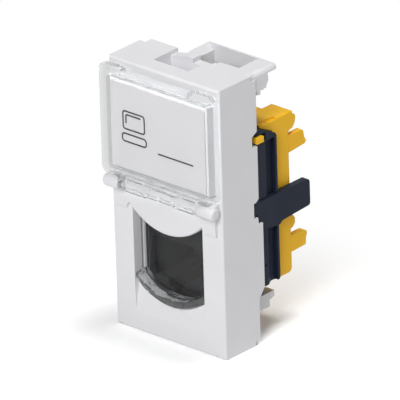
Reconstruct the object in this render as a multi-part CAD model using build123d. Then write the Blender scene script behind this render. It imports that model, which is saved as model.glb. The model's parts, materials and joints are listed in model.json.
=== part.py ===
from build123d import *
import os
from math import sqrt

# Data outlet insert with a keystone-style jack, in millimetres.
# X runs across the face, Y from the face to the wall box, Z upwards.
# The origin is the middle of the face's lower edge.

# Module
module_width = 22.5
module_height = 45.0
half_width = module_width / 2
edge_round = 0.45
tiny = 1e-4

# Front housing
side_wall = 1.2
face_wall = 2.4
floor_wall = 1.2
roof_wall = 1.6
rim_depth = 8.7
lower_rim_depth = 9.3
rim_step_z = 19.95
heel_depth = 8.0
heel_height = 7.5
heel_slope = 1.7
foot_depth = 6.9
foot_height = 0.8
inner_half = half_width - side_wall

# Opening in the face, its scoop and the dome over it
opening_half = 7.15
arc_radius = 9.9
lip_low = 5.8
lip_height = 1.2
dome_low = 18.1
dome_gap = 0.3
sill_gap = 0.25
scoop_low = 3.1
scoop_depth = 1.3
hood_low = 20.6
hood_proud = 0.5
hood_lean = 0.15
hood_side_gap = 0.9
ear_r = 0.75
rail_width = 1.7
rail_top = 33.4

# Label cover and its hinge
cover_depth = 2.35
cover_face = 0.9
cover_wall = 1.0
cover_low = 26.3
cover_top = 44.5
cover_gap = 0.06
corner_block = 4.3
notch_depth = 0.9
cover_round = 1.3
thumb_half = 2.1
thumb_height = 0.95
thumb_rise = 0.3
thumb_proud = 0.18
hinge_y = -1.3
hinge_z = 24.9
knuckle_r = 1.05
barrel_length = 3.15
hinge_side_gap = 0.15
pin_r = 0.5
pin_length = 1.6
pin_end_gap = 0.2
pin_gap = 0.05
knuckle_length = 5.0
hinge_slot_height = 0.65
hinge_slot_depth = 0.7
hinge_slot_end = 0.55
hinge_bridge = 0.3
waist_r = 0.85

# Label
pad_proud = 1.1
pad_gap = 0.35
pad_low = 27.6
card_thickness = 0.25
card_inset = 0.3

# Dust shutter
panel_front = 2.6
panel_thickness = 0.85
panel_top = 22.0
shutter_side_gap = 0.2
groove_front = 1.75
groove_width = 0.6
groove_depth = 1.1
groove_low = 9.6
tab_gap = 0.1
tab_height = 2.0
tab_width = 0.5

# Jack housing and its port
jack_front = 3.7
port_half = 5.95
port_low = 8.5
port_height = 6.8
port_depth = 8.8
latch_half = 3.15
latch_drop = 2.2
catch_half = 2.0
catch_depth = 1.6
catch_step = 1.2
port_wall = 1.05
nose_back_wall = 1.0
jack_flange_half = 8.8
jack_flange_depth = 3.7
tray_wall = 1.0
tray_face = 1.3
jack_top = 33.0

# Circuit board, springs and cable contacts
board_thickness = 1.2
board_gap = 0.1
contact_count = 8
contact_pitch = 1.02
wire_r = 0.18
wire_bend = 0.7
wire_run_y = 5.9
wire_drop = 0.6
wire_tip_rise = 4.5
wire_tip_back = 0.9
sled_half = 4.5
sled_gap = 0.05
sled_rise = 1.0
sled_back_wall = 1.0
board_row_rise = 2.1
idc_columns = 4
idc_pitch = 4.0
idc_thickness = 0.5
idc_width = 2.6
idc_slot = 0.45
idc_slot_depth = 2.4
idc_tail_width = 0.7
idc_rows = (22.6, 29.0)
fit_gap = 0.03

# Rear frame
frame_back = 13.6
frame_low = 8.75
rim_gap = 0.06
frame_side_gap = 0.6
frame_wall = 1.15
frame_shoulder_z = 33.3
frame_crown_z = 35.4
frame_crown_y = 9.3
frame_corner = 1.0
frame_foot_corner = 0.5
channel_width = 1.0
channel_rim = 0.45
channel_depth = 0.7
channel_ramp = 1.25
nick_z = 12.2
nick_reach = 1.4
lever_proud = 0.3
lever_top = 23.35
lever_low = 18.8
lever_back = 20.55
hook_front = 7.6
hook_high = 23.5
hook_low = 21.4
notch_clear = 0.25

# Wire cap
cap_back = 17.5
cap_side_step = 0.9
cap_wall = 1.2
cap_low = 8.3
cap_round = 0.9
cap_gap = 0.06
cap_shoulder = 34.2
crown_top = 35.2
crown_back = 18.3
crown_front = 10.7
crown_width = 4.0
crown_gap = 0.12
dimple_front = 12.3
dimple_length = 2.3
dimple_depth = 0.3
dimple_width = 0.8
cable_r = 3.3
cable_z = 25.8
arm_wall = 1.0
upper_arm_z = 28.4
lower_arm_z = 11.7
knob_z = 15.6
lug_height = 0.95
lug_depth = 1.5
lug_gap = 0.12
window_length = 2.5

# Clips of the front housing
loop_left = -2.5
loop_side_gap = 0.25
loop_back = 14.0
loop_wall = 0.8
loop_height = 3.2
loop_arm_width = 1.2
loop_arm_fall = 1.0
loop_round = 0.7
loop_right_wall = 3.3
pocket_front = 8.75
recess_left = -4.65
recess_flat = -0.9
recess_right = 2.6
recess_front = 3.1
recess_depth = 2.6
bridge_front = 7.0
bridge_drop = 0.7
ledge_drop = 0.8
slab_height = 1.0
peg_r = 0.5
peg_drop = 2.9
corner_step_height = 3.6
corner_step_depth = 1.4
corner_step_width = 1.15
clip_side_gap = 1.05
clip_back = 13.9

panel_back = panel_front + panel_thickness
shutter_travel = dome_low - lip_low - lip_height - dome_gap
slab_low = module_height - slab_height
shutter_half = opening_half - shutter_side_gap
port_top = port_low + port_height
nose_low = port_low - latch_drop - port_wall
nose_half = port_half + port_wall
nose_back = jack_front + port_depth + nose_back_wall
nose_top = port_top + port_wall + 0.6
roof_z = module_height - roof_wall
frame_front = rim_depth + rim_gap
lower_front = lower_rim_depth + rim_gap
notch_half = half_width - corner_block
loop_right = half_width - loop_side_gap
pocket_right = loop_right - loop_right_wall
clip_half = inner_half - clip_side_gap
step_front = pocket_front - 1.2
loop_arm_inner = loop_left + loop_arm_width
board_front = jack_front + jack_flange_depth
board_back = board_front + board_thickness
tray_low = nose_top
tray_half = jack_flange_half - tray_wall
board_row_z = tray_low + board_row_rise
block_front = board_back + board_gap
block_back = frame_back - 0.2
frame_half = half_width - frame_side_gap
frame_inner = frame_half - frame_wall
cap_half = frame_half - cap_side_step
block_half = frame_inner - 0.1
bridge_height = 1.0
block_low = nose_top + bridge_height + 0.2
cap_front = frame_back + cap_gap
cap_wall_front = cap_back - cap_wall
latch_arm_low = jack_top + 0.15
latch_arm_high = latch_arm_low + 1.2
lug_low = latch_arm_low + 0.05
lug_high = lug_low + lug_height
lug_front = rim_depth - 0.1


def block(x0, x1, y0, y1, z0, z1):
    """Box between two corners."""
    centre = Pos((x0 + x1) / 2, (y0 + y1) / 2, (z0 + z1) / 2)
    return centre * Box(x1 - x0, y1 - y0, z1 - z0)


def pair(x0, x1, y0, y1, z0, z1):
    """The same box on both sides of the middle."""
    return block(x0, x1, y0, y1, z0, z1) + block(-x1, -x0, y0, y1, z0, z1)


def outline(points):
    return make_face(Polyline(*points, close=True))


def from_side(sketch, x0, x1):
    """A sketch in Y and Z, extruded across from x0 to x1."""
    return extrude(Plane.YZ.offset(x0) * sketch, amount=x1 - x0)


def from_front(sketch, y0, y1):
    """A sketch in X and Z, extruded back from y0 to y1."""
    return extrude(Plane.XZ.offset(-y0) * sketch, amount=y0 - y1)


def from_top(sketch, z0, z1):
    """A sketch in X and Y, extruded up from z0 to z1."""
    return extrude(Plane.XY.offset(z0) * sketch, amount=z1 - z0)


def both_sides(solid):
    return solid + mirror(solid, about=Plane.YZ)


def rect(x0, x1, z0, z1):
    return Pos((x0 + x1) / 2, (z0 + z1) / 2) * Rectangle(x1 - x0, z1 - z0)


def arc_drop(x):
    """How far the opening's arc has risen at a distance x from the middle."""
    return arc_radius - sqrt(arc_radius ** 2 - x ** 2)


def above_arc(half, low, top):
    """Area above a hanging arc whose lowest point is at low."""
    shoulder = low + arc_drop(half)
    bowl = Pos(0, low + arc_radius) * Circle(arc_radius)
    bowl = bowl & rect(-half, half, low - 1, shoulder + 0.01)
    return bowl + rect(-half, half, shoulder, top)


def vertical_edges(solid, x, y):
    """Edges along Z at the given distance from the middle and depth."""
    found = solid.edges().filter_by(Axis.Z)
    near = found.filter_by(lambda e: abs(abs(e.center().X) - x) < tiny)
    return near.filter_by(lambda e: abs(e.center().Y - y) < tiny)


def edges_along_x(solid, y, z):
    found = solid.edges().filter_by(Axis.X)
    level = found.filter_by(lambda e: abs(e.center().Z - z) < tiny)
    return level.filter_by(lambda e: abs(e.center().Y - y) < tiny)


# Front housing

def housing_block():
    side = outline([
        (0, 0),
        (foot_depth, 0),
        (foot_depth, foot_height),
        (heel_depth, foot_height),
        (heel_depth, heel_height),
        (lower_rim_depth, heel_height + heel_slope),
        (lower_rim_depth, rim_step_z),
        (rim_depth, rim_step_z),
        (rim_depth, module_height),
        (0, module_height),
    ])
    body = from_side(side, -half_width, half_width)
    front = body.faces().sort_by(Axis.Y)[0]
    body = fillet(front.edges(), edge_round)
    body = fillet(vertical_edges(body, half_width, rim_depth), edge_round * 0.7)
    return body


def opening_cut():
    """Opening for plug and shutter, with the dome left hanging over it."""
    low = lip_low - sill_gap
    area = above_arc(opening_half, low, hood_low + 4)
    dome = above_arc(opening_half + 1, dome_low, hood_low + 6)
    return from_front(area - dome, -hood_proud - 1, face_wall + 0.5)


def scoop_cut():
    """Shallow finger relief that runs into the face below the opening."""
    top = lip_low + arc_drop(opening_half) + 1
    ramp = outline([(-1, scoop_low), (0, scoop_low), (scoop_depth, top), (-1, top)])
    return from_side(ramp, -opening_half, opening_half)


def hood():
    """Proud band over the opening, with the lower edge of the dome."""
    top = hinge_z - knuckle_r - 0.2
    lean = hood_proud + hood_lean
    side = outline([
        (edge_round, hood_low),
        (-hood_proud, hood_low + 0.1),
        (-lean, top - 0.1),
        (-lean + 0.1, top),
        (edge_round, top),
    ])
    half = half_width - hood_side_gap
    band = from_side(side, -half, half)
    ears = Pos(opening_half, hood_low + ear_r / 3) * Circle(ear_r)
    band -= both_sides(from_front(ears, -hood_proud - 1, 0))
    bulge = Pos(0, dome_low + arc_radius) * Circle(arc_radius)
    bulge = bulge & rect(-opening_half, opening_half, dome_low - 1, top - 0.1)
    dome = from_front(bulge, -hood_proud, face_wall)
    dome_edge = dome.edges().filter_by(GeomType.CIRCLE).sort_by(Axis.Y)[0]
    dome = fillet(dome_edge, hood_proud * 0.9)
    return band + dome


def hinge_barrels():
    """Half barrels at the two ends of the hinge line, run back into the face."""
    root = outline([
        (hinge_y, hinge_z + knuckle_r),
        (0.2, hinge_z + knuckle_r + 0.2),
        (0.2, hinge_z - knuckle_r - 0.2),
        (hinge_y + 0.5, hinge_z - knuckle_r),
        (hinge_y, hinge_z - knuckle_r),
    ])
    start = half_width - barrel_length
    barrel = from_side(Pos(hinge_y, hinge_z) * Circle(knuckle_r), start, half_width)
    outer = barrel.edges().filter_by(GeomType.CIRCLE).sort_by(Axis.X)[-1]
    barrel = fillet(outer, edge_round)
    barrel += from_side(root, start, half_width - edge_round)
    hole = Pos(hinge_y, hinge_z) * Circle(pin_r + pin_gap)
    barrel -= from_side(hole, start - 0.1, start + pin_length + pin_end_gap)
    return both_sides(barrel)


def label_pad():
    half = half_width - cover_wall - pad_gap
    top = cover_top - notch_depth - cover_wall - pad_gap
    pad = block(-half, half, -pad_proud, 0.3, pad_low, top)
    front = pad.faces().sort_by(Axis.Y)[0]
    return fillet(front.edges(), 0.2)


def shutter_rails():
    """Walls behind the face that the shutter slides between."""
    low = lip_low - sill_gap
    return pair(opening_half, opening_half + rail_width, face_wall - 0.1, jack_front, low, rail_top)


def groove_cuts():
    """Guide grooves for the shutter's tabs, open at the back above the opening."""
    outer = opening_half + groove_depth
    inner = shutter_half - tab_width - 0.2
    top = panel_top + shutter_travel + 0.6
    slot = pair(inner, outer, groove_front, groove_front + groove_width, groove_low, top)
    web = pair(inner, opening_half, groove_front, face_wall + 0.1, groove_low, top)
    return slot + web


def top_loop():
    """Spring loop that clips the top of the insert into its support frame."""
    low = module_height - loop_height
    outer = outline([
        (loop_left, step_front),
        (loop_left, loop_back - 0.6),
        (loop_left + 1.3, loop_back),
        (loop_right, loop_back),
        (loop_right, rim_depth - 0.9),
        (pocket_right, rim_depth - 0.9),
        (pocket_right, step_front),
    ])
    corner = outer.vertices().sort_by_distance((loop_right, loop_back))[0]
    outer = fillet(corner, loop_round)
    ring = from_top(outer, low, module_height)
    top_edges = ring.faces().sort_by(Axis.Z)[-1].edges()
    side_edge = top_edges.filter_by(Axis.Y).sort_by(Axis.X)[-1]
    ring = fillet(side_edge, loop_round)
    lug_x = pocket_right + 0.1
    under = outline([
        (loop_back - 2.2, low - 1),
        (loop_back + 1, low - 1),
        (loop_back + 1, slab_low),
        (loop_back - 2.4, slab_low),
        (loop_back - 2.25, slab_low - 1.1),
        (loop_back - 2.8, slab_low - 1.95),
    ])
    ring -= from_side(under, lug_x, loop_right + 1)
    nose = edges_along_x(ring, loop_back, slab_low)
    return fillet(nose, 0.2)


def lug_cam():
    """Cam under the right end of the loop, with its small stop peg."""
    side = outline([
        (rim_depth - 0.9, slab_low + 0.2),
        (loop_back - 2.5, slab_low + 0.2),
        (loop_back - 2.3, slab_low - 0.8),
        (loop_back - 2.65, slab_low - 1.7),
        (loop_back - 3.6, slab_low - 2.4),
        (loop_back - 3.9, slab_low - 1.9),
        (rim_depth - 0.9, slab_low - 1.8),
    ])
    cam = from_side(side, pocket_right + 0.6, loop_right)
    peg = Pos(loop_right - peg_r, rim_depth + 0.95) * Circle(peg_r)
    return cam + from_top(peg, slab_low - peg_drop, slab_low - 1.5)


def pocket_cut():
    """Hole inside the loop, with the ledge at its front left."""
    back = loop_back - loop_wall
    area = outline([
        (loop_arm_inner, back),
        (pocket_right, back),
        (pocket_right, pocket_front),
        (pocket_right - 3.5, pocket_front - 0.15),
        (loop_arm_inner, pocket_front + 0.05),
    ])
    ledge = outline([
        (loop_left + 2.4, pocket_front + 0.1),
        (loop_left + 2.4, step_front - 0.4),
        (loop_left + 3.0, step_front - 1.4),
        (loop_left + 3.9, step_front - 2.2),
        (loop_left + 4.9, step_front - 2.5),
        (loop_left + 5.7, step_front - 2.1),
        (pocket_right - 3.9, step_front - 0.3),
        (pocket_right - 3.6, pocket_front + 0.1),
    ])
    deep = from_top(area, module_height - loop_height - 2, module_height + 1)
    return deep + from_top(ledge, module_height - ledge_drop, module_height + 1)


def arm_slope_cut():
    """Slope on the loop's left arm, which falls from its outer edge to the pocket."""
    slope = outline([
        (loop_left, module_height),
        (loop_arm_inner, module_height - loop_arm_fall),
        (loop_arm_inner, module_height + 1),
        (loop_left, module_height + 1),
    ])
    return from_front(slope, rim_depth, loop_back - loop_wall)


def recess_cut():
    """Dished recess in the top plate, with a lower bridge between it and the rear edge."""
    deep = module_height - recess_depth
    high = module_height + 1
    dish = outline([
        (recess_left, high),
        (recess_left, deep),
        (recess_flat, deep),
        (recess_right, module_height),
        (recess_right, high),
    ])
    low = module_height - bridge_drop
    bridge = outline([
        (recess_left, high),
        (recess_left, low),
        (loop_left, low + bridge_drop * 0.6),
        (loop_arm_inner, module_height),
        (loop_arm_inner, high),
    ])
    body = from_front(dish, recess_front, bridge_front)
    return body + from_front(bridge, bridge_front - 0.1, rim_depth + 0.1)


def recess_cup():
    """Pocket wall that closes the recess under the top plate."""
    low = module_height - recess_depth - 1.0
    cup = block(recess_left - 1.0, recess_right, recess_front - 1.0, rim_depth, low, roof_z + 0.1)
    return cup + block(recess_left, recess_right, bridge_front, rim_depth, low, module_height - 0.1)


def loop_side_cut():
    """Small step where the plate's edge gives way to the narrower loop."""
    front = step_front - 0.2
    high = module_height + 1
    step = block(loop_right, half_width + 1, front, rim_depth + 1, slab_low, high)
    round_edge = outline([
        (loop_right - loop_round, high),
        (loop_right - loop_round, module_height),
        (loop_right - loop_round * 0.3, module_height - loop_round * 0.3),
        (loop_right, module_height - loop_round),
        (loop_right, high),
    ])
    return step + from_front(round_edge, front, rim_depth)


def corner_cut():
    """Step at the rear left corner of the top, where the side wall ends sooner."""
    inner = -half_width + corner_step_width
    front = rim_depth - corner_step_depth
    low = module_height - corner_step_height
    return block(-half_width - 1, inner, front, rim_depth + 1, low, module_height + 1)


def bottom_clip():
    """Fixed hooks under the jack, which hold the lower edge of the insert."""
    shelf_low = floor_wall + 1.9
    shelf_top = nose_low - 0.25
    shelf = outline([
        (face_wall - 0.1, shelf_low),
        (clip_back - 4.6, shelf_low),
        (clip_back - 3.7, shelf_low + 0.8),
        (clip_back - 1.1, shelf_low + 0.8),
        (clip_back - 1.1, shelf_top),
        (face_wall - 0.1, shelf_top),
    ])
    hook = outline([
        (clip_back - 4.2, shelf_low + 0.8),
        (clip_back - 1.1, shelf_low + 0.8),
        (clip_back - 1.1, shelf_top),
        (clip_back, shelf_top + 0.3),
        (clip_back, shelf_top + 1.3),
        (clip_back - 3.7, shelf_top + 1.3),
        (clip_back - 4.2, shelf_top),
    ])
    clip = from_side(shelf, -clip_half, clip_half)
    clip += both_sides(from_side(hook, nose_half + 0.25, clip_half))
    rib_low = floor_wall - 0.1
    ribs = pair(clip_half - 1.2, clip_half, face_wall - 0.1, heel_depth, rib_low, shelf_low + 0.1)
    return clip + ribs


def side_notches():
    """Notches in the rear rims that take the hooks of the frame and the cap."""
    gap = notch_clear
    front = hook_front - gap
    back = rim_depth + 1
    outer = half_width + 1
    lever = block(inner_half - 1, outer, front, back, hook_low - gap, hook_high + gap)
    taper = outline([
        (rim_depth - 0.9, hook_high + gap),
        (rim_depth + 1, hook_high + 1.6),
        (rim_depth + 1, rim_step_z),
        (rim_depth - 0.35, rim_step_z + 0.2),
        (rim_depth - 0.5, hook_low),
    ])
    lever += from_side(taper, inner_half - 1, outer)
    latch = outline([
        (front, latch_arm_low),
        (back, latch_arm_low - 0.4),
        (back, lug_high + 2.0),
        (front, lug_high + 0.7),
    ])
    return both_sides(lever + from_side(latch, inner_half - 1, outer))


def front_housing():
    body = housing_block()
    body -= block(-inner_half, inner_half, face_wall, rim_depth + 1, floor_wall, roof_z)
    body += hood()
    body += hinge_barrels()
    body += label_pad()
    body += shutter_rails()
    body += bottom_clip()
    body += top_loop()
    body += lug_cam()
    body += recess_cup()
    body -= opening_cut()
    body -= scoop_cut()
    body -= groove_cuts()
    body -= pocket_cut()
    body -= arm_slope_cut()
    body -= recess_cut()
    body -= loop_side_cut()
    body -= corner_cut()
    body -= side_notches()
    return body


# Label and its cover

def label_card():
    half = half_width - cover_wall - pad_gap - card_inset
    low = pad_low + card_inset
    top = cover_top - notch_depth - cover_wall - pad_gap - card_inset
    card = Rectangle(2 * half, top - low)
    card = fillet(card.vertices(), 0.5)
    card = Pos(0, (low + top) / 2) * card
    return from_front(card, -pad_proud - card_thickness, -pad_proud)


def cover_tray():
    middle = (cover_low + cover_top) / 2
    shape = Pos(0, middle) * Rectangle(module_width, cover_top - cover_low)
    shape = fillet(shape.vertices().group_by(Axis.Y)[0], cover_round)
    shape = fillet(shape.vertices().group_by(Axis.Y)[-1], 0.6)
    tray = from_front(shape, -cover_depth, -cover_gap)
    front = tray.faces().sort_by(Axis.Y)[0]
    tray = fillet(front.edges(), 0.4)
    inner = half_width - cover_wall
    lid_top = cover_top - notch_depth
    height = lid_top - cover_low - 2 * cover_wall
    hollow = Pos(0, (cover_low + lid_top) / 2) * Rectangle(2 * inner, height)
    hollow = fillet(hollow.vertices(), 0.5)
    tray -= from_front(hollow, cover_face - cover_depth, 1)
    tray -= block(-notch_half, notch_half, -cover_depth - 1, 1, lid_top, cover_top + 1)
    tray -= pair(notch_half, half_width + 1, -cover_depth + 1.6, 1, lid_top, cover_top + 1)
    return tray


def cover_knuckles():
    """Hinge bar with its pins: two knuckles, a thinner waist and a long slot."""
    outer = half_width - barrel_length - hinge_side_gap
    inner = outer - knuckle_length
    web = rect(-cover_depth, hinge_y + 0.3, hinge_z, cover_low + 0.4)
    full = Pos(hinge_y, hinge_z) * Circle(knuckle_r)
    thin = Pos(hinge_y, hinge_z) * Circle(waist_r)
    waist_web = rect(hinge_y - waist_r, hinge_y + 0.3, hinge_z, cover_low + 0.4)
    pin_end = outer + hinge_side_gap + pin_length
    pin = from_side(Pos(hinge_y, hinge_z) * Circle(pin_r), outer - 0.1, pin_end)
    bar = both_sides(from_side(full + web, inner, outer) + pin)
    bar += from_side(thin + waist_web, -inner - 0.1, inner + 0.1)
    slot_top = hinge_z
    slot_low = slot_top - hinge_slot_height
    slot_back = hinge_slot_depth - cover_depth
    slot_end = outer - hinge_slot_end
    front = -cover_depth - 1
    bar -= pair(inner + hinge_bridge, slot_end, front, slot_back, slot_low, slot_top)
    return bar - pair(hinge_bridge, inner - hinge_bridge, front, slot_back, slot_low, slot_top)


def label_cover():
    proud = cover_depth + thumb_proud
    low = cover_low + thumb_rise
    thumb = block(-thumb_half, thumb_half, -proud, 0.1 - cover_depth, low, low + thumb_height)
    return cover_tray() + cover_knuckles() + thumb


# Dust shutter

def dust_shutter():
    panel = from_front(above_arc(shutter_half, lip_low, panel_top), panel_front, panel_back)
    lip_top = lip_low + lip_height
    band = above_arc(shutter_half, lip_low, panel_top)
    band -= above_arc(shutter_half + 1, lip_top, panel_top + 1)
    lip = from_front(band, 0.05, panel_front)
    front = lip.edges().filter_by(GeomType.CIRCLE).group_by(Axis.Y)[0]
    lip = fillet(front, 0.3)
    tab_y = groove_front + tab_gap
    tab_z = panel_top - tab_height
    reach = opening_half + groove_depth - tab_gap
    tab_back = tab_y + groove_width - 2 * tab_gap
    tabs = pair(shutter_half - tab_width, reach, tab_y, tab_back, tab_z, panel_top)
    web_back = panel_front + 0.1
    webs = pair(shutter_half - tab_width, shutter_half, tab_y, web_back, tab_z, panel_top)
    return panel + lip + tabs + webs


# Jack

def port_cut():
    """Plug cavity with the latch channel and the catch at its mouth."""
    mouth = jack_front - 0.1
    back = jack_front + port_depth
    step = jack_front + catch_depth
    cavity = block(-port_half, port_half, mouth, back, port_low, port_top)
    channel_low = port_low - latch_drop
    cavity += block(-latch_half, latch_half, step, back, channel_low, port_low + 0.1)
    cavity += block(-latch_half, latch_half, mouth, step + 0.1, port_low - catch_step, port_low + 0.1)
    cavity += block(-catch_half, catch_half, mouth, step + 0.1, channel_low, port_low)
    return cavity


def jack_housing():
    nose = block(-nose_half, nose_half, jack_front, nose_back, nose_low, nose_top)
    flange = block(-jack_flange_half, jack_flange_half, jack_front, board_front, port_low - 1, nose_top)
    tray = block(-jack_flange_half, jack_flange_half, jack_front, board_back, nose_top - 0.1, jack_top)
    half = tray_half - 0.8
    face = jack_front + tray_face
    hollow = block(-half, half, face, board_back, tray_low + 1, jack_top - 1.8)
    seat = block(-tray_half, tray_half, board_front, board_back + 1, tray_low + 0.2, jack_top - 1)
    sled_top = tray_low + sled_rise + 0.1
    sled_back = wire_run_y + sled_back_wall
    window = block(-sled_half, sled_half, face, sled_back, port_top - 0.1, sled_top)
    body = nose + flange + tray
    body = fillet(vertical_edges(body, nose_half, nose_back), 0.5)
    return body - port_cut() - hollow - seat - window


def contact_x(index):
    return (index - (contact_count - 1) / 2) * contact_pitch


def contact_sled():
    """Comb in the roof of the port that spaces the spring contacts."""
    half = sled_half - sled_gap
    front = jack_front + tray_face + sled_gap
    back = wire_run_y + sled_back_wall - sled_gap
    top = tray_low + sled_rise
    comb = block(-half, half, front, back, port_top + 0.1, top)
    for index in range(contact_count):
        x = contact_x(index)
        gap = wire_r + fit_gap
        comb -= block(x - gap, x + gap, wire_run_y - gap, back + sled_rise, port_top, top + sled_rise)
    return comb


def spring_contact(index):
    """One spring wire, from the board over the comb and back into the port."""
    tail = (board_back - 0.05, board_row_z)
    corner = (wire_run_y, board_row_z)
    turn = (wire_run_y, port_top - wire_drop)
    tip = (jack_front + port_depth - wire_tip_back, port_low + wire_tip_rise)
    x = contact_x(index)
    points = [Vector(x, y, z) for y, z in (tail, corner, turn, tip)]
    path = FilletPolyline(*points, radius=wire_bend)
    start = Plane(origin=points[0], z_dir=(0, -1, 0))
    return sweep(start * Circle(wire_r), path=path)


def idc_place(index):
    column = index % idc_columns
    row = index // idc_columns
    return (column - (idc_columns - 1) / 2) * idc_pitch, idc_rows[row]


def idc_blade(index, gap=0.0, fork=True):
    """Forked blade with its tail in the board; a gap makes it a cutter."""
    x, z = idc_place(index)
    half = idc_thickness / 2 + gap
    wide = idc_width / 2 + gap
    tail = idc_tail_width / 2 + gap
    tip = block_back - 1.2
    blade = block(x - half, x + half, block_front, tip, z - wide, z + wide)
    blade += block(x - half, x + half, board_front - 0.4, block_front + 0.1, z - tail, z + tail)
    if fork:
        slot = idc_slot / 2
        blade -= block(x - 1, x + 1, tip - idc_slot_depth, tip + 1, z - slot, z + slot)
    return blade


def circuit_board():
    half = tray_half - board_gap
    low = tray_low + 0.2 + board_gap
    board = block(-half, half, board_front, board_back, low, jack_top - 1 - board_gap)
    for index in range(contact_count):
        hole = Pos(contact_x(index), board_row_z) * Circle(wire_r + fit_gap)
        board -= from_front(hole, board_front - 1, board_back + 1)
    for index in range(2 * idc_columns):
        board -= idc_blade(index, fit_gap, False)
    return board


def idc_block():
    """Block behind the board that holds the cable contacts."""
    body = block(-block_half, block_half, block_front, block_back, block_low, jack_top)
    back = block_back + 1
    body = fillet(body.edges().filter_by(Axis.Y), 0.4)
    for row_z in idc_rows:
        side = block_half + 1
        body -= block(-side, side, block_back - 2.2, back, row_z - 0.55, row_z + 0.55)
    for index in range(2 * idc_columns):
        x, z = idc_place(index)
        body -= idc_blade(index, fit_gap, False)
        half = idc_thickness / 2 + fit_gap
        wide = idc_width / 2 + fit_gap
        body -= block(x - half, x + half, block_front + 1, back, z - wide, z + wide)
    throat = Pos(0, (idc_rows[0] + idc_rows[1]) / 2) * Circle(cable_r * 0.6)
    return body - from_front(throat, block_back - 2, back)


# Rear frame

def channel_cut(low, high):
    """Groove down the side plate that deepens towards the back."""
    channel_back = frame_back - channel_rim
    channel_front = channel_back - channel_width
    outer = frame_half - channel_depth
    edge = frame_half + 1
    section = outline([
        (frame_half, channel_front - channel_ramp),
        (outer, channel_front),
        (outer, channel_back),
        (edge, channel_back),
        (edge, channel_front - channel_ramp),
    ])
    return from_top(section, low, high)


def frame_side():
    """Side plate with its sloping top, rear channel, window and hook."""
    step_z = rim_step_z + rim_gap
    side = outline([
        (lower_front, frame_low),
        (frame_back, frame_low),
        (frame_back, frame_shoulder_z),
        (frame_crown_y, frame_crown_z),
        (frame_front, frame_crown_z),
        (frame_front, step_z),
        (lower_front, step_z),
    ])
    shoulder = side.vertices().sort_by_distance((frame_back, frame_shoulder_z))[0]
    side = fillet(shoulder, frame_corner)
    foot = side.vertices().sort_by_distance((frame_back, frame_low))[0]
    side = fillet(foot, frame_foot_corner)
    plate = from_side(side, frame_inner, frame_half)
    plate -= channel_cut(lever_top, frame_shoulder_z - 0.5)
    plate -= channel_cut(frame_low - 1, lever_low - 0.6)
    nick = outline([
        (lower_front - 0.1, nick_z - 0.5),
        (lower_front - 0.1, nick_z),
        (lower_front + nick_reach, nick_z + 0.15),
        (lower_front + nick_reach - 0.15, nick_z - 0.05),
    ])
    edge = frame_half + 1
    plate -= from_side(nick, frame_half - 0.5, edge)
    hook_z = latch_arm_low - 1.0
    plate += block(frame_inner, inner_half - 0.1, hook_front, frame_front + 0.1, hook_z, hook_z + 0.7)
    low = lug_low - lug_gap
    high = lug_high + lug_gap
    window = block(frame_inner - 1, edge, lug_front - lug_gap, lug_front + window_length, low, high)
    return plate - window


def frame_lever():
    """Release lever: hook at the front, finger tab at the back, one with the plate."""
    side = outline([
        (hook_front, hook_low),
        (hook_front, hook_high),
        (frame_front, lever_top + 0.7),
        (frame_front + 0.6, lever_top),
        (lever_back, lever_top),
        (lever_back, lever_low + 0.1),
        (frame_back + 1.6, lever_low - 0.2),
        (frame_back + 0.5, lever_low - 0.3),
        (frame_back, lever_low - 0.7),
        (frame_back - channel_rim, lever_low - 0.75),
        (lower_front + 1.6, lever_low - 0.5),
        (lower_front, lever_low + 0.1),
        (lower_front, rim_step_z + 0.15),
        (frame_front - 0.2, rim_step_z + 0.35),
        (frame_front - 0.3, hook_low),
    ])
    top = side.vertices().sort_by_distance((lever_back, lever_top))[0]
    side = fillet(top, 0.7)
    low = side.vertices().sort_by_distance((lever_back, lever_low + 0.1))[0]
    side = fillet(low, 0.45)
    return from_side(side, frame_half - 0.8, frame_half + lever_proud)


def rear_frame():
    side = frame_side() + frame_lever()
    reach = frame_inner + 0.1
    foot_top = frame_low + 0.9
    foot = block(nose_half + 0.2, reach, frame_front + 0.4, frame_back - 0.4, frame_low, foot_top)
    frame = both_sides(side + foot)
    crown_back_y = frame_crown_y + 0.9
    crown_low = latch_arm_high + 0.2
    frame += block(-reach, reach, frame_front, crown_back_y, crown_low, frame_crown_z - 0.1)
    bridge_low = nose_top + 0.1
    bridge_back = frame_back - 0.6
    bridge_top = bridge_low + bridge_height - 0.1
    return frame + block(-reach, reach, board_back + 0.2, bridge_back, bridge_low, bridge_top)


# Wire cap

def cap_shell():
    side = outline([
        (cap_front, cap_low),
        (cap_back, cap_low),
        (cap_back, cap_shoulder),
        (cap_front, cap_shoulder),
    ])
    corner = side.vertices().sort_by_distance((cap_back, cap_low))[0]
    side = fillet(corner, cap_round)
    body = from_side(side, -cap_half, cap_half)
    inner = cap_half - cap_wall
    low = cap_low + cap_wall
    body -= block(-inner, inner, cap_front - 1, cap_wall_front, low, cap_shoulder - cap_wall)
    return fillet(vertical_edges(body, cap_half, cap_back), 0.4)


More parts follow.
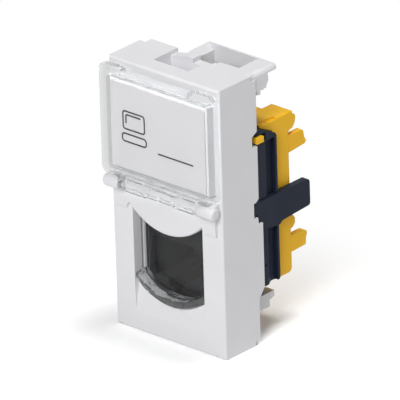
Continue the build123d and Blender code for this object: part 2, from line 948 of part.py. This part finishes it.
def cap_crown():
    """Raised blocks at the two upper corners, which reach forward over the frame."""
    slope = (frame_crown_z - frame_shoulder_z) / (frame_back - frame_crown_y)
    lip_z = frame_crown_z - slope * (crown_front - frame_crown_y) + crown_gap
    root = cap_shoulder - 2.0
    side = outline([
        (crown_front, lip_z),
        (crown_front, crown_top),
        (crown_back, crown_top),
        (crown_back, root),
        (cap_front, root),
        (cap_front, frame_shoulder_z + crown_gap),
    ])
    crown = from_side(side, cap_half - crown_width, cap_half)
    rim = crown.faces().sort_by(Axis.Z)[-1].edges()
    crown = fillet([rim.sort_by(Axis.X)[-1], rim.sort_by(Axis.Y)[-1]], 0.3)
    inner = cap_half - dimple_width
    back = dimple_front + dimple_length
    low = crown_top - dimple_depth
    crown -= block(inner, cap_half + 1, dimple_front, back, low, crown_top + 1)
    return both_sides(crown)


def cap_arms():
    """Prongs at the back that guide the wires, and the small lugs by them."""
    inner = cap_half - arm_wall
    root = cap_back - 0.2
    upper = outline([
        (root, upper_arm_z),
        (cap_back + 3.5, upper_arm_z + 0.3),
        (cap_back + 3.8, upper_arm_z + 0.7),
        (cap_back + 3.4, upper_arm_z + 1.4),
        (cap_back + 3.2, upper_arm_z + 2.5),
        (cap_back + 2.9, upper_arm_z + 2.8),
        (root, upper_arm_z + 2.8),
    ])
    lower = outline([
        (root, lower_arm_z),
        (cap_back + 3.1, lower_arm_z + 0.15),
        (cap_back + 3.2, lower_arm_z + 1.3),
        (cap_back + 3.45, lower_arm_z + 1.9),
        (cap_back + 3.3, lower_arm_z + 2.4),
        (cap_back + 2.7, lower_arm_z + 2.7),
        (root, lower_arm_z + 2.7),
    ])
    knob = outline([
        (root, knob_z),
        (cap_back + 0.35, knob_z + 0.25),
        (cap_back + 0.8, knob_z + 0.8),
        (cap_back + 0.75, knob_z + 1.6),
        (cap_back + 0.4, knob_z + 2.1),
        (root, knob_z + 2.25),
    ])
    lobe = outline([
        (root, crown_top - 3.25),
        (crown_back + 0.1, crown_top - 2.75),
        (crown_back + 0.5, crown_top - 2.2),
        (crown_back + 0.7, crown_top - 1.6),
        (crown_back + 0.65, crown_top - 1.0),
        (crown_back + 0.25, crown_top - 0.65),
        (root, crown_top - 0.5),
    ])
    arms = from_side(upper, inner, cap_half) + from_side(lower, inner, cap_half)
    arms += from_side(knob, inner, cap_half) + from_side(lobe, cap_half - crown_width / 2, cap_half)
    return both_sides(arms)


def cap_latches():
    """Latch arms that reach through the frame to the housing."""
    inner = frame_inner - 1.5
    outer = frame_inner - 0.15
    side = outline([
        (hook_front + 0.1, latch_arm_low),
        (cap_wall_front, latch_arm_low),
        (cap_wall_front, latch_arm_high),
        (hook_front + 0.1, latch_arm_high),
    ])
    arm = from_side(side, inner, outer)
    lug_back = lug_front + lug_depth
    lug = block(outer - 0.1, half_width - 0.05, lug_front, lug_back, lug_low, lug_high)
    return both_sides(arm + lug)


def wire_cap():
    body = cap_shell() + cap_crown() + cap_arms() + cap_latches()
    inner = cap_half - cap_wall + 0.1
    rib_front = block_back - 0.9
    for row_z in idc_rows:
        rib = block(-inner, inner, rib_front, cap_wall_front + 0.1, row_z - 0.4, row_z + 0.4)
        for index in range(idc_columns):
            x = idc_place(index)[0]
            rib -= block(x - 0.5, x + 0.5, rib_front - 1, cap_front + 0.4, row_z - 1, row_z + 1)
        body += rib
    hole = Pos(0, cable_z) * Circle(cable_r)
    return body - from_front(hole, cap_wall_front - 0.1, cap_back + 1)


def build():
    parts = {
        "front_housing": front_housing(),
        "label_card": label_card(),
        "label_cover": label_cover(),
        "dust_shutter": dust_shutter(),
        "jack_housing": jack_housing(),
        "contact_sled": contact_sled(),
        "circuit_board": circuit_board(),
        "idc_block": idc_block(),
        "rear_frame": rear_frame(),
        "wire_cap": wire_cap(),
    }
    for index in range(contact_count):
        parts[f"contact_{index + 1}"] = spring_contact(index)
    for index in range(2 * idc_columns):
        parts[f"idc_{index + 1}"] = idc_blade(index)
    return parts


os.makedirs("parts", exist_ok=True)
for name, solid in build().items():
    export_step(solid, f"parts/{name}.step")
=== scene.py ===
import json
import math

import bpy
from mathutils import Matrix, Vector

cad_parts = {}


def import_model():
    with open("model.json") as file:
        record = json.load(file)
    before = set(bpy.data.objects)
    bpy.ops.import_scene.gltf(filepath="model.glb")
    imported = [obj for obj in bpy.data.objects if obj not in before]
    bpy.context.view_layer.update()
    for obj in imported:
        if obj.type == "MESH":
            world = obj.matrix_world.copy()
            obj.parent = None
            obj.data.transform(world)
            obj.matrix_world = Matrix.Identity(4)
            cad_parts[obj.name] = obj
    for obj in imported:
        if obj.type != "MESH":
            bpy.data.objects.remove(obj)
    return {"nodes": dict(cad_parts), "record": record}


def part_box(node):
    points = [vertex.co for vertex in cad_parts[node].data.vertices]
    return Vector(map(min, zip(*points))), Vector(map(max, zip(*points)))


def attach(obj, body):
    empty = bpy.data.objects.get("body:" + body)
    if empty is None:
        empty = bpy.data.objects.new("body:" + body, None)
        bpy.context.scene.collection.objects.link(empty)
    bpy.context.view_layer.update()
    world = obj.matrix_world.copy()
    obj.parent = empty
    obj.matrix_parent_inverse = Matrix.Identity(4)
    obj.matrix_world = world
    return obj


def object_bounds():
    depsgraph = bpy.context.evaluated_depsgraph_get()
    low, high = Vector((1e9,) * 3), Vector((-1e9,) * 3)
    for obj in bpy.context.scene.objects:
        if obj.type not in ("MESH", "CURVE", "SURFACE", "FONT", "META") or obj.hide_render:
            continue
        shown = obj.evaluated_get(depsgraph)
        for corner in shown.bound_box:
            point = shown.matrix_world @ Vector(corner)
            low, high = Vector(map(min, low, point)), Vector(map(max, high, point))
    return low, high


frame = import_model()
cad_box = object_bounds()
nodes = frame["nodes"]

MM = 0.001

# The photograph's view
CAMERA_AZIMUTH = math.radians(42.505)
CAMERA_ELEVATION = math.radians(24.473)
CAMERA_ROLL = math.radians(-1.791)
CAMERA_DISTANCE = 2.0
CAMERA_RIGHT = 5.03 * MM
CAMERA_UP = 1.27 * MM
AIM_HEIGHT = 22.5 * MM
FRAME_WIDTH = 61.05 * MM
SENSOR = 36.0
CLIP_NEAR = 0.1
CLIP_FAR = 20

# The label's print, drawn in mm across and up the face, and its thickness in metres; a box is left,
# right, low, top and corner radius
SCREEN_BOX = (-7.1, -2.75, 34.55, 37.5, 0.42)
KEYBOARD_BOX = (-7.35, -2.45, 32.45, 33.75, 0.5)
INNER_START = (-6.5, 35.5)
INNER_CORNER = (-6.2, 36.65)
INNER_RADIUS = 0.3
INNER_END = (-3.5, 36.95)
WRITING_START = (-0.1, 32.1)
WRITING_END = (7.1, 32.1)
LINE_WIDTH = 0.27
PRINT_THICKNESS = 0.02 * MM
CORNER_STEPS = 6

# Softly rounded edges, on all but the slots in PLAIN_EDGES, and the reach that joins doubled corners
EDGE_ROUND = 0.09 * MM
EDGE_SEGMENTS = 2
SHARP_ANGLE = math.radians(35)
WELD_REACH = 0.0005 * MM
PLAIN_EDGES = ("gold_plate", "label_paper", "clear_plastic")

# The two tones that each surface drifts between
WHITE = (0.765, 0.765, 0.785), (0.745, 0.745, 0.765)
CHARCOAL = (0.032, 0.032, 0.034), (0.027, 0.027, 0.029)
NAVY = (0.013, 0.019, 0.036), (0.010, 0.015, 0.030)
YELLOW = (0.97, 0.55, 0.026), (0.94, 0.52, 0.022)
PAPER = (0.668, 0.652, 0.668), (0.648, 0.632, 0.648)
INK = (0.03, 0.03, 0.032), (0.05, 0.05, 0.053)
BOARD = (0.02, 0.13, 0.055), (0.03, 0.19, 0.08)
GOLD = (0.92, 0.66, 0.26), (0.82, 0.56, 0.2)
TIN = (0.74, 0.74, 0.73), (0.62, 0.62, 0.61)

# Noise: its usual span, and the features per metre of each use
NOISE_LOW = 0.3
NOISE_HIGH = 0.7
TONE_DRIFT = 160
MOULDING_GLOSS = 420
CLEAR_GLOSS = 500
LIP_WAVES = 560
PAPER_FIBRES = 5200
INK_WEAR = 6000
BOARD_TONE = 2600
BOARD_GLOSS = 900
BOARD_GRAIN = 3200
PLATING_MARKS = 4000

# Refractive index of the opaque mouldings
MOULDING_BEND = 1.5

# Clear mouldings: surface tint and gloss, the colour that thickness takes on, and each piece's
# refractive index and density
CLEAR_TINT = (0.8, 0.805, 0.805)
CLEAR_ROUGH = 0.015
CLEAR_DEPTH_TINT = (0.49, 0.505, 0.502)
COVER_BEND = 1.12
COVER_DENSITY = 120
SHUTTER_BEND = 1.26
SHUTTER_DENSITY = 330

# The shutter's lip: depth behind its front, fade to the window, height of its waves, and clarity
LIP_DEPTH = 2.15 * MM
LIP_FADE = 0.3 * MM
LIP_WAVE_HEIGHT = 0.6 * MM
LIP_CLARITY = 0.9

# Stage: world light, floor colours, and where the floor's shadows start and end running to white
WORLD_LIGHT = 0.25
WORLD_TINT = (0.985, 0.99, 1.0)
FLOOR_HALF = 3.0
FLOOR_DROP = 0.02 * MM
FLOOR_PALE = 0.8
FLOOR_SEEN = 1.25
SHADOW_FADE = (16 * MM, 50 * MM)


# Node helpers

def new_material(name):
    """A material with one Principled shader, ready to be driven."""
    material = bpy.data.materials.new(name)
    material.use_nodes = True
    tree = material.node_tree
    shader = tree.nodes["Principled BSDF"]
    return material, tree, shader


def place(tree):
    """Object coordinates, which are the part's own metres."""
    return tree.nodes.new("ShaderNodeTexCoord").outputs["Object"]


def noise(tree, scale, detail, stretch=(1, 1, 1)):
    """Smooth noise; scale is features per metre."""
    mapping = tree.nodes.new("ShaderNodeMapping")
    mapping.inputs["Scale"].default_value = stretch
    tree.links.new(place(tree), mapping.inputs["Vector"])
    texture = tree.nodes.new("ShaderNodeTexNoise")
    texture.inputs["Scale"].default_value = scale
    texture.inputs["Detail"].default_value = detail
    tree.links.new(mapping.outputs["Vector"], texture.inputs["Vector"])
    return texture.outputs["Fac"]


def ramp(tree, value, start, end, low=0.0, high=1.0, curve="LINEAR"):
    """Runs from low to high as the value runs from start to end."""
    node = tree.nodes.new("ShaderNodeMapRange")
    node.interpolation_type = curve
    node.inputs["From Min"].default_value = start
    node.inputs["From Max"].default_value = end
    node.inputs["To Min"].default_value = low
    node.inputs["To Max"].default_value = high
    tree.links.new(value, node.inputs["Value"])
    return node.outputs["Result"]


def spread(tree, value, low, high):
    """The middle of a noise, spread over low to high."""
    return ramp(tree, value, NOISE_LOW, NOISE_HIGH, low, high)


def combine(tree, operation, first, second):
    """One Math node that joins two values."""
    node = tree.nodes.new("ShaderNodeMath")
    node.operation = operation
    tree.links.new(first, node.inputs[0])
    tree.links.new(second, node.inputs[1])
    return node.outputs["Value"]


def blend_tones(tree, noise_value, tones):
    """Drifts between two tones with a noise."""
    first, second = tones
    node = tree.nodes.new("ShaderNodeMix")
    node.data_type = "RGBA"
    node.inputs["A"].default_value = (*first, 1)
    node.inputs["B"].default_value = (*second, 1)
    tree.links.new(spread(tree, noise_value, 0, 1), node.inputs["Factor"])
    return node.outputs["Result"]


def blend_shaders(tree, share, first, second):
    """The first shader where the share is none, and the second where it is full."""
    node = tree.nodes.new("ShaderNodeMixShader")
    tree.links.new(share, node.inputs["Fac"])
    tree.links.new(first, node.inputs[1])
    tree.links.new(second, node.inputs[2])
    return node.outputs["Shader"]


def add_bump(tree, shader, height, distance, strength):
    """Drives the shader's normal with a height."""
    node = tree.nodes.new("ShaderNodeBump")
    node.inputs["Distance"].default_value = distance
    node.inputs["Strength"].default_value = strength
    tree.links.new(height, node.inputs["Height"])
    tree.links.new(node.outputs["Normal"], shader.inputs["Normal"])


# Materials

def moulded(name, tones, rough, grain, grain_depth, shine):
    """Moulded plastic: slow drift of tone, uneven gloss and a fine surface grain."""
    material, tree, shader = new_material(name)
    drift = noise(tree, TONE_DRIFT, detail=2)
    tree.links.new(blend_tones(tree, drift, tones), shader.inputs["Base Color"])
    patches = noise(tree, MOULDING_GLOSS, detail=4)
    gloss = spread(tree, patches, low=rough - 0.05, high=rough + 0.06)
    tree.links.new(gloss, shader.inputs["Roughness"])
    add_bump(tree, shader, noise(tree, grain, detail=2), distance=grain_depth, strength=0.5)
    shader.inputs["IOR"].default_value = MOULDING_BEND
    shader.inputs["Specular IOR Level"].default_value = shine
    return material


def white_plastic():
    return moulded("white_moulding", WHITE, rough=0.38, grain=9000, grain_depth=0.006 * MM, shine=0.35)


def charcoal_plastic():
    return moulded("charcoal_moulding", CHARCOAL, rough=0.5, grain=12000, grain_depth=0.008 * MM, shine=0.15)


def navy_plastic():
    return moulded("navy_moulding", NAVY, rough=0.5, grain=11000, grain_depth=0.01 * MM, shine=0.16)


def yellow_plastic():
    return moulded("yellow_moulding", YELLOW, rough=0.48, grain=10000, grain_depth=0.008 * MM, shine=0.18)


def label_paper():
    """Card with faint fibres that run up the face."""
    material, tree, shader = new_material("label_paper")
    fibres = noise(tree, PAPER_FIBRES, detail=5, stretch=(1, 1, 0.35))
    tree.links.new(blend_tones(tree, fibres, PAPER), shader.inputs["Base Color"])
    tree.links.new(spread(tree, fibres, low=0.68, high=0.8), shader.inputs["Roughness"])
    add_bump(tree, shader, fibres, distance=0.008 * MM, strength=0.4)
    return material


def print_ink():
    """Near-black ink with slight wear."""
    material, tree, shader = new_material("print_ink")
    wear = noise(tree, INK_WEAR, detail=4)
    tree.links.new(blend_tones(tree, wear, INK), shader.inputs["Base Color"])
    tree.links.new(spread(tree, wear, low=0.5, high=0.65), shader.inputs["Roughness"])
    return material


def add_lip_waves(tree, shader, start):
    """Flow marks and a faint haze in the thick lip, which fade out at the flat window."""
    depth = tree.nodes.new("ShaderNodeSeparateXYZ")
    tree.links.new(place(tree), depth.inputs["Vector"])
    share = ramp(tree, depth.outputs["Y"], start + LIP_FADE, start)
    waves = combine(tree, "MULTIPLY", noise(tree, LIP_WAVES, detail=2), share)
    add_bump(tree, shader, waves, distance=LIP_WAVE_HEIGHT, strength=1.0)
    clarity = ramp(tree, share, 0.0, 1.0, low=1.0, high=LIP_CLARITY)
    tree.links.new(clarity, shader.inputs["Transmission Weight"])


def clear_plastic(name, bend, density, wavy_from=None):
    """Clear polished moulding, greyer where it is thicker, and wavy in front of wavy_from."""
    material, tree, shader = new_material(name)
    shader.inputs["Base Color"].default_value = (*CLEAR_TINT, 1)
    shader.inputs["Transmission Weight"].default_value = 1.0
    shader.inputs["IOR"].default_value = bend
    patches = noise(tree, CLEAR_GLOSS, detail=3)
    gloss = spread(tree, patches, low=CLEAR_ROUGH, high=2 * CLEAR_ROUGH)
    tree.links.new(gloss, shader.inputs["Roughness"])
    if wavy_from is not None:
        add_lip_waves(tree, shader, wavy_from)
    clear = tree.nodes.new("ShaderNodeBsdfTransparent")
    shadow_ray = tree.nodes.new("ShaderNodeLightPath").outputs["Is Shadow Ray"]
    surface = blend_shaders(tree, shadow_ray, shader.outputs["BSDF"], clear.outputs["BSDF"])
    output = tree.nodes["Material Output"]
    tree.links.new(surface, output.inputs["Surface"])
    depth = tree.nodes.new("ShaderNodeVolumeAbsorption")
    depth.inputs["Color"].default_value = (*CLEAR_DEPTH_TINT, 1)
    depth.inputs["Density"].default_value = density
    tree.links.new(depth.outputs["Volume"], output.inputs["Volume"])
    return material


def circuit_board_mask():
    """Green solder mask with uneven gloss and a faint grain."""
    material, tree, shader = new_material("board_mask")
    drift = noise(tree, BOARD_TONE, detail=3)
    tree.links.new(blend_tones(tree, drift, BOARD), shader.inputs["Base Color"])
    gloss = spread(tree, noise(tree, BOARD_GLOSS, detail=3), low=0.28, high=0.42)
    tree.links.new(gloss, shader.inputs["Roughness"])
    add_bump(tree, shader, noise(tree, BOARD_GRAIN, detail=3), distance=0.01 * MM, strength=0.3)
    return material


def plated(name, tones, rough):
    """Bright plating with fine drawing marks."""
    material, tree, shader = new_material(name)
    marks = noise(tree, PLATING_MARKS, detail=4, stretch=(1, 0.12, 0.12))
    tree.links.new(blend_tones(tree, marks, tones), shader.inputs["Base Color"])
    shader.inputs["Metallic"].default_value = 1.0
    gloss = spread(tree, marks, low=rough - 0.05, high=rough + 0.07)
    tree.links.new(gloss, shader.inputs["Roughness"])
    add_bump(tree, shader, marks, distance=0.004 * MM, strength=0.4)
    return material


def make_materials():
    """One material for each slot of the record."""
    return {
        "white_plastic": white_plastic(),
        "label_paper": label_paper(),
        "clear_plastic": clear_plastic("clear_cover", COVER_BEND, COVER_DENSITY),
        "charcoal_plastic": charcoal_plastic(),
        "navy_plastic": navy_plastic(),
        "yellow_plastic": yellow_plastic(),
        "board": circuit_board_mask(),
        "gold_plate": plated("gold_plating", GOLD, rough=0.22),
        "tin_plate": plated("tin_plating", TIN, rough=0.3),
    }


def round_edges(piece):
    """Softly rounds the sharp edges of a piece."""
    bevel = piece.modifiers.new("edges", "BEVEL")
    bevel.width = EDGE_ROUND
    bevel.segments = EDGE_SEGMENTS
    bevel.limit_method = "ANGLE"
    bevel.angle_limit = SHARP_ANGLE
    bevel.harden_normals = True
    bevel.use_clamp_overlap = True


def finish_nodes(materials):
    """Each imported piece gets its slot's material, and the shutter a clear one of its own."""
    lip_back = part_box("dust_shutter")[0].y + LIP_DEPTH
    own = {"dust_shutter": clear_plastic("clear_shutter", SHUTTER_BEND, SHUTTER_DENSITY, lip_back)}
    for part in frame["record"]["subparts"]:
        name, slot = part["node"], part["material_slot"]
        piece = nodes[name]
        piece.data.materials.clear()
        piece.data.materials.append(own.get(name, materials[slot]))
        weld = piece.modifiers.new("weld", "WELD")
        weld.merge_threshold = WELD_REACH
        if slot not in PLAIN_EDGES:
            round_edges(piece)


# The label's print

def corner(centre, radius, start):
    """Points of a quarter turn about a corner, in the face's X and Z."""
    step = math.pi / 2 / CORNER_STEPS
    angles = [start - i * step for i in range(CORNER_STEPS + 1)]
    return [(centre[0] + radius * math.cos(a), centre[1] + radius * math.sin(a)) for a in angles]


def round_box(left, right, low, top, radius):
    """Clockwise outline of a rounded rectangle, from its upper left corner."""
    points = corner((left + radius, top - radius), radius, math.pi)
    points += corner((right - radius, top - radius), radius, math.pi / 2)
    points += corner((right - radius, low + radius), radius, 0)
    points += corner((left + radius, low + radius), radius, -math.pi / 2)
    return points


def stroke(points, closed):
    """Left and right edge points of a line of the print's width."""
    count = len(points)
    edges = []
    for i, point in enumerate(points):
        before = points[i - 1] if closed or i > 0 else point
        after = points[(i + 1) % count] if closed or i < count - 1 else point
        along = Vector((after[0] - before[0], after[1] - before[1])).normalized()
        side = Vector((-along.y, along.x)) * (LINE_WIDTH / 2)
        edges.append((Vector(point) + side, Vector(point) - side))
    return edges


def add_line(verts, faces, points, closed, face_y):
    """One raised line: four corners at each point, first the two on the card."""
    edges = stroke(points, closed)
    first = len(verts)
    for left, right in edges:
        for y in (face_y, face_y - PRINT_THICKNESS):
            verts.append((left.x * MM, y, left.y * MM))
            verts.append((right.x * MM, y, right.y * MM))
    count = len(edges)
    for i in range(count if closed else count - 1):
        a = first + 4 * i
        b = first + 4 * ((i + 1) % count)
        faces.extend([(a, a + 1, b + 1, b), (a + 2, b + 2, b + 3, a + 3)])
        faces.extend([(a, b, b + 2, a + 2), (a + 1, a + 3, b + 3, b + 1)])
    if not closed:
        last = first + 4 * (count - 1)
        faces.append((first, first + 2, first + 3, first + 1))
        faces.append((last, last + 1, last + 3, last + 2))


def print_lines(name, lines, face_y):
    """Raised ink lines on the label; each line is (points in mm, closed)."""
    verts, faces = [], []
    for points, closed in lines:
        add_line(verts, faces, points, closed, face_y)
    mesh = bpy.data.meshes.new(name)
    mesh.from_pydata(verts, [], faces)
    mesh.validate()
    mesh.update()
    piece = bpy.data.objects.new(name, mesh)
    bpy.context.scene.collection.objects.link(piece)
    return piece


def label_print(material):
    """A plain computer sign and a line to write on."""
    face_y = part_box("label_card")[0].y
    screen = round_box(*SCREEN_BOX)
    inner = [INNER_START] + corner(INNER_CORNER, INNER_RADIUS, math.pi) + [INNER_END]
    keyboard = round_box(*KEYBOARD_BOX)
    writing = [WRITING_START, WRITING_END]
    lines = [(screen, True), (inner, False), (keyboard, True), (writing, False)]
    piece = print_lines("label_print", lines, face_y)
    piece.data.materials.append(material)
    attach(piece, "housing")


# Stage

def seen_share(tree):
    """One for rays from the camera and for those that gloss or glass sends on."""
    path = tree.nodes.new("ShaderNodeLightPath")
    most = path.outputs["Is Camera Ray"]
    for ray in ("Is Glossy Ray", "Is Transmission Ray"):
        most = combine(tree, "MAXIMUM", most, path.outputs[ray])
    return most


def far_share(tree):
    """None near the object and one far out on the floor, by distance from the middle."""
    reach = tree.nodes.new("ShaderNodeVectorMath")
    reach.operation = "LENGTH"
    tree.links.new(place(tree), reach.inputs[0])
    return ramp(tree, reach.outputs["Value"], *SHADOW_FADE, curve="SMOOTHSTEP")


def plain_shader(tree, colour):
    """Diffuse shader in one even grey."""
    node = tree.nodes.new("ShaderNodeBsdfDiffuse")
    node.inputs["Color"].default_value = (colour, colour, colour, 1)
    return node.outputs["BSDF"]


def floor_material():
    """Lights the object as a pale floor, and in view keeps its shadow and runs to white."""
    material = bpy.data.materials.new("floor")
    material.use_nodes = True
    tree = material.node_tree
    tree.nodes.clear()
    output = tree.nodes.new("ShaderNodeOutputMaterial")
    glow = tree.nodes.new("ShaderNodeEmission")
    glow.inputs["Strength"].default_value = 1.0
    near = plain_shader(tree, FLOOR_SEEN)
    view = blend_shaders(tree, far_share(tree), near, glow.outputs["Emission"])
    surface = blend_shaders(tree, seen_share(tree), plain_shader(tree, FLOOR_PALE), view)
    tree.links.new(surface, output.inputs["Surface"])
    return material


def floor():
    """A wide floor just under the part."""
    half = FLOOR_HALF
    corners = [(-half, -half, 0), (half, -half, 0), (half, half, 0), (-half, half, 0)]
    mesh = bpy.data.meshes.new("floor")
    mesh.from_pydata(corners, [], [(0, 1, 2, 3)])
    piece = bpy.data.objects.new("floor", mesh)
    piece.location.z = -FLOOR_DROP
    bpy.context.scene.collection.objects.link(piece)
    piece.data.materials.append(floor_material())


def world():
    """Even pale light, seen as white by the camera, in gloss and through glass."""
    sky = bpy.data.worlds.new("studio")
    bpy.context.scene.world = sky
    sky.use_nodes = True
    tree = sky.node_tree
    tree.nodes.clear()
    output = tree.nodes.new("ShaderNodeOutputWorld")
    light = tree.nodes.new("ShaderNodeBackground")
    light.inputs["Color"].default_value = (*WORLD_TINT, 1)
    light.inputs["Strength"].default_value = WORLD_LIGHT
    white = tree.nodes.new("ShaderNodeBackground")
    white.inputs["Strength"].default_value = 1.0
    shown = blend_shaders(tree, seen_share(tree), light.outputs["Background"], white.outputs["Background"])
    tree.links.new(shown, output.inputs["Surface"])


def outward(azimuth, elevation):
    """Direction away from the part; angles in radians, azimuth 0 straight in front."""
    level = math.cos(elevation)
    return Vector((math.sin(azimuth) * level, -math.cos(azimuth) * level, math.sin(elevation)))


def lamp(name, azimuth, elevation, distance, size, watts):
    """Soft lamp that looks at the middle of the object; angles in degrees."""
    target = (cad_box[0] + cad_box[1]) / 2
    away = outward(math.radians(azimuth), math.radians(elevation))
    data = bpy.data.lights.new(name, "AREA")
    data.shape = "DISK"
    data.size = size
    data.energy = watts
    light = bpy.data.objects.new(name, data)
    light.location = target + away * distance
    light.rotation_mode = "QUATERNION"
    light.rotation_quaternion = away.to_track_quat("Z", "Y")
    bpy.context.scene.collection.objects.link(light)


def camera():
    """Camera at the photograph's angle, moved sideways to its framing."""
    back = outward(CAMERA_AZIMUTH, CAMERA_ELEVATION)
    level = Vector((math.cos(CAMERA_AZIMUTH), math.sin(CAMERA_AZIMUTH), 0))
    upright = back.cross(level)
    roll = CAMERA_ROLL
    right = level * math.cos(roll) + upright * math.sin(roll)
    up = upright * math.cos(roll) - level * math.sin(roll)
    data = bpy.data.cameras.new("camera")
    data.sensor_width = SENSOR
    data.lens = SENSOR * CAMERA_DISTANCE / FRAME_WIDTH
    data.clip_start = CLIP_NEAR
    data.clip_end = CLIP_FAR
    view = bpy.data.objects.new("camera", data)
    turn = Matrix((right, up, back)).transposed().to_4x4()
    middle = Vector((0, 0, AIM_HEIGHT))
    spot = middle + back * CAMERA_DISTANCE + right * CAMERA_RIGHT + up * CAMERA_UP
    view.matrix_world = Matrix.Translation(spot) @ turn
    bpy.context.scene.collection.objects.link(view)
    bpy.context.scene.camera = view


materials = make_materials()
finish_nodes(materials)
label_print(print_ink())
floor()
world()
lamp("top", azimuth=135, elevation=80, distance=0.6, size=0.15, watts=1.35)
lamp("front", azimuth=20, elevation=34, distance=0.8, size=0.38, watts=4.1)
camera()
bpy.context.scene.view_settings.view_transform = "Standard"
